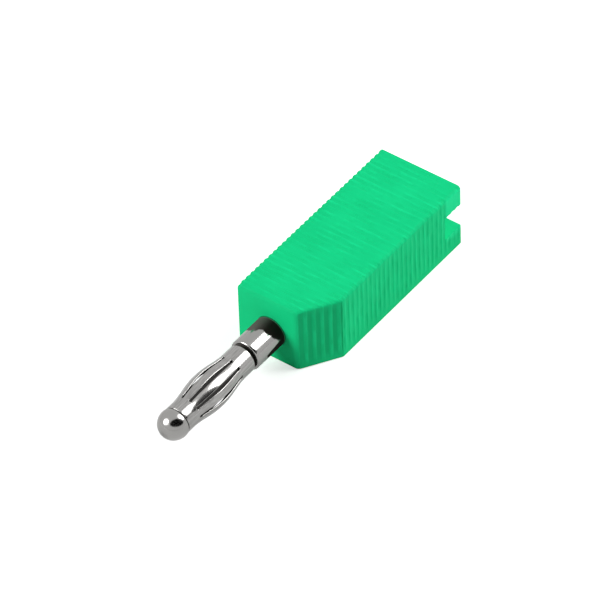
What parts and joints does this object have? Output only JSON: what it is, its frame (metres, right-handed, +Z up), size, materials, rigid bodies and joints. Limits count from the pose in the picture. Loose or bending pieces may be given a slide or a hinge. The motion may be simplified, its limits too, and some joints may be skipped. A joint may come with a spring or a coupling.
{
  "type": "banana plug",
  "caption": "Stackable 4 mm banana plug: a ribbed green block housing with a chamfered front corner and side cable notch, and a nickel pin with a caged spring and ball tip.",
  "frame": {"origin": "on the pin's axis, in the plane of the housing's front face", "axes": "+X out of the front face along the pin, +Y to the chamfered side, +Z up from the underside"},
  "size_m": [0.0476, 0.0113, 0.009],
  "materials": {
    "green_plastic": "satin moulded",
    "nickel_plate": "bright nickel",
    "spring_plate": "bright nickel",
    "screw_steel": "zinc plated"
  },
  "bodies": {
    "plug": {"housing": "green_plastic", "contact_body": "nickel_plate", "tip_pin": "nickel_plate"},
    "cage": {"cage_spring": "spring_plate"},
    "screw": {"clamp_screw": "screw_steel"}
  },
  "joints": [
    {"name": "cage_spin", "type": "hinge", "parent": "plug", "child": "cage", "pos_m": [0.0115, 0, 0], "axis": [1, 0, 0], "continuous": true},
    {"name": "screw_turn", "type": "hinge", "parent": "plug", "child": "screw", "pos_m": [-0.004, 0, -0.0024], "axis": [0, 0, 1], "range_deg": [0, 1080]}
  ]
}
